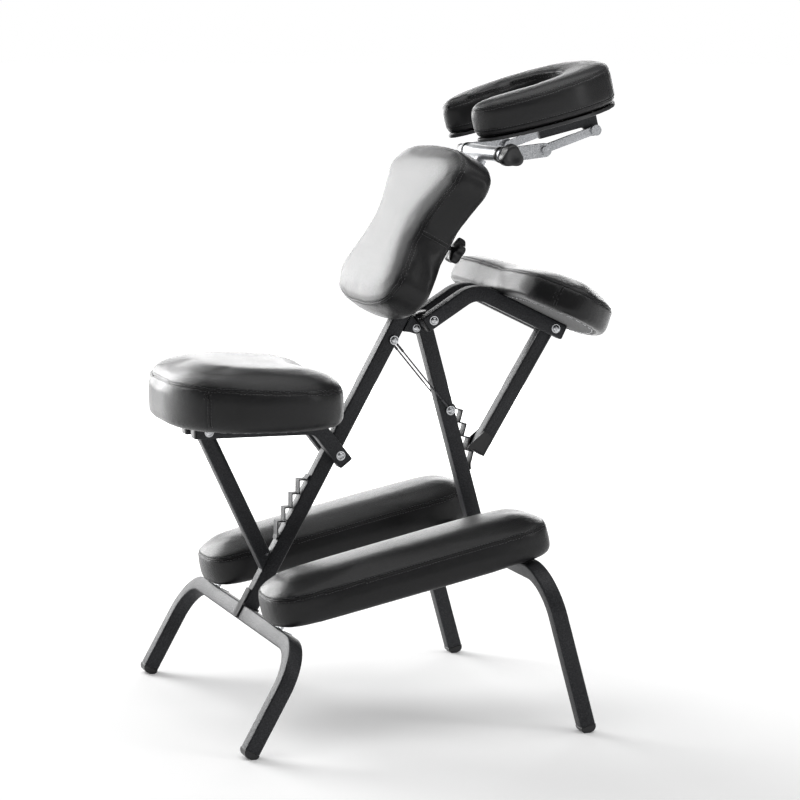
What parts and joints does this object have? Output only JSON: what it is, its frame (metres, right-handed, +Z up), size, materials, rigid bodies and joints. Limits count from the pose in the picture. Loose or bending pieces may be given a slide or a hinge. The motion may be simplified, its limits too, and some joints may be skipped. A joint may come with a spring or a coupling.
{
  "type": "kneeling massage chair",
  "caption": "Folding kneeling massage chair on hinged steel leg frames, with padded seat, knee rests, chest pad, armrest and a horseshoe face cradle.",
  "frame": {"origin": "centre of the bounding box, on the floor", "axes": "+Z up, +Y the way the sitter faces, +X the sitter's right"},
  "size_m": [0.6206, 0.7664, 1.0522],
  "materials": {
    "frame_paint": "satin",
    "upholstery": "gloss",
    "plywood": "matte",
    "zinc_plate": "satin",
    "silver_paint": "satin",
    "black_plastic": "satin",
    "black_rubber": "matte",
    "steel_cable": "satin"
  },
  "bodies": {
    "rear_frame": {"seat_side_leg": "frame_paint", "main_post": "frame_paint", "seat_ratchet": "frame_paint", "post_guard": "black_rubber", "foot_cap_rear_left": "black_plastic", "foot_cap_rear_right": "black_plastic", "fold_clevis": "frame_paint", "fold_pin": "zinc_plate", "seat_hinge_bolt": "zinc_plate", "rear_cable_bolt": "zinc_plate", "knee_hinge_base_left": "zinc_plate", "knee_hinge_base_right": "zinc_plate"},
    "front_frame": {"arm_side_leg": "frame_paint", "front_post": "frame_paint", "armrest_ratchet": "frame_paint", "knee_rest_left": "black_rubber", "knee_rest_right": "black_rubber", "foot_cap_front_left": "black_plastic", "foot_cap_front_right": "black_plastic", "fold_lug": "frame_paint", "armrest_hinge_bolt": "zinc_plate", "front_cable_bolt": "zinc_plate", "limit_cable_left": "steel_cable", "limit_cable_right": "steel_cable"},
    "knee_left": {"knee_board_left": "plywood", "knee_pad_left": "upholstery", "knee_hinge_leaf_left": "zinc_plate"},
    "knee_right": {"knee_board_right": "plywood", "knee_pad_right": "upholstery", "knee_hinge_leaf_right": "zinc_plate"},
    "seat": {"seat_bar_left": "frame_paint", "seat_bar_right": "frame_paint", "seat_board": "plywood", "seat_pad": "upholstery", "seat_strut_bolt": "zinc_plate"},
    "seat_prop": {"seat_strut": "frame_paint", "seat_strut_pin": "zinc_plate"},
    "armrest": {"armrest_bar_left": "frame_paint", "armrest_bar_right": "frame_paint", "armrest_board": "plywood", "armrest_pad": "upholstery", "armrest_strut_bolt": "zinc_plate"},
    "armrest_prop": {"armrest_strut": "frame_paint", "armrest_strut_hook": "black_plastic"},
    "chest_carriage": {"chest_bracket": "frame_paint", "chest_board": "plywood", "chest_pad": "upholstery"},
    "chest_lock_knob": {"chest_knob": "black_plastic"},
    "cradle_mast": {"cradle_stem": "silver_paint", "cradle_cross_tube": "silver_paint", "cradle_cross_cap": "black_plastic"},
    "cradle_arms": {"cradle_arm_left": "silver_paint", "cradle_arm_right": "silver_paint"},
    "cradle_links": {"cradle_link_left": "silver_paint", "cradle_link_right": "silver_paint"},
    "cradle_head": {"cradle_plate": "black_plastic", "cradle_bracket_left": "frame_paint", "cradle_bracket_right": "frame_paint", "cradle_pad": "upholstery"},
    "cradle_lock_knob": {"cradle_cam_knob": "black_plastic"}
  },
  "joints": [
    {"name": "frame_fold", "type": "hinge", "parent": "rear_frame", "child": "front_frame", "pos_m": [0, 0.04972, 0.61691], "axis": [-1, 0, 0], "range_deg": [0, 42], "deforming": ["limit_cable_left", "limit_cable_right"]},
    {"name": "knee_fold_left", "type": "hinge", "parent": "rear_frame", "child": "knee_left", "pos_m": [-0.173, -0.23508, 0.17707], "axis": [1, 0, 0], "range_deg": [0, 33]},
    {"name": "knee_fold_right", "type": "hinge", "parent": "rear_frame", "child": "knee_right", "pos_m": [0.173, -0.23508, 0.17707], "axis": [1, 0, 0], "range_deg": [0, 33]},
    {"name": "seat_tilt", "type": "hinge", "parent": "rear_frame", "child": "seat", "pos_m": [0, -0.08672, 0.4168], "axis": [-1, 0, 0], "range_deg": [0, 18]},
    {"name": "seat_prop_swing", "type": "hinge", "parent": "seat", "child": "seat_prop", "pos_m": [0, -0.307, 0.4635], "axis": [-1, 0, 0], "range_deg": [0, 60]},
    {"name": "armrest_tilt", "type": "hinge", "parent": "front_frame", "child": "armrest", "pos_m": [0, 0.07048, 0.63153], "axis": [1, 0, 0], "range_deg": [0, 20]},
    {"name": "armrest_prop_swing", "type": "hinge", "parent": "armrest", "child": "armrest_prop", "pos_m": [0, 0.2842, 0.6125], "axis": [1, 0, 0], "range_deg": [0, 70]},
    {"name": "chest_height", "type": "slide", "parent": "rear_frame", "child": "chest_carriage", "axis": [0, 0.4787, 0.878], "range_m": [-0.045, 0]},
    {"name": "chest_knob_turn", "type": "hinge", "parent": "chest_carriage", "child": "chest_lock_knob", "pos_m": [0, 0.09135, 0.75594], "axis": [0, 0.878, -0.4787], "range_deg": [-360, 0]},
    {"name": "cradle_height", "type": "slide", "parent": "rear_frame", "child": "cradle_mast", "axis": [0, 0.4787, 0.878], "range_m": [0, 0.06]},
    {"name": "cradle_arm_swing", "type": "hinge", "parent": "cradle_mast", "child": "cradle_arms", "pos_m": [0, 0.16981, 0.89985], "axis": [1, 0, 0], "range_deg": [-20, 8]},
    {"name": "cradle_link_swing", "type": "hinge", "parent": "cradle_arms", "child": "cradle_links", "pos_m": [0, 0.24, 0.908], "axis": [1, 0, 0], "range_deg": [-25, 4]},
    {"name": "cradle_tilt", "type": "hinge", "parent": "cradle_links", "child": "cradle_head", "pos_m": [0, 0.3305, 0.9393], "axis": [-1, 0, 0], "range_deg": [0, 30]},
    {"name": "cradle_knob_turn", "type": "hinge", "parent": "cradle_mast", "child": "cradle_lock_knob", "pos_m": [0, 0.16981, 0.89985], "axis": [1, 0, 0], "range_deg": [-360, 0]}
  ],
  "couplings": [
    {"joint": "knee_fold_left", "follows": "frame_fold", "ratio": 0.75},
    {"joint": "knee_fold_right", "follows": "frame_fold", "ratio": 0.75}
  ]
}
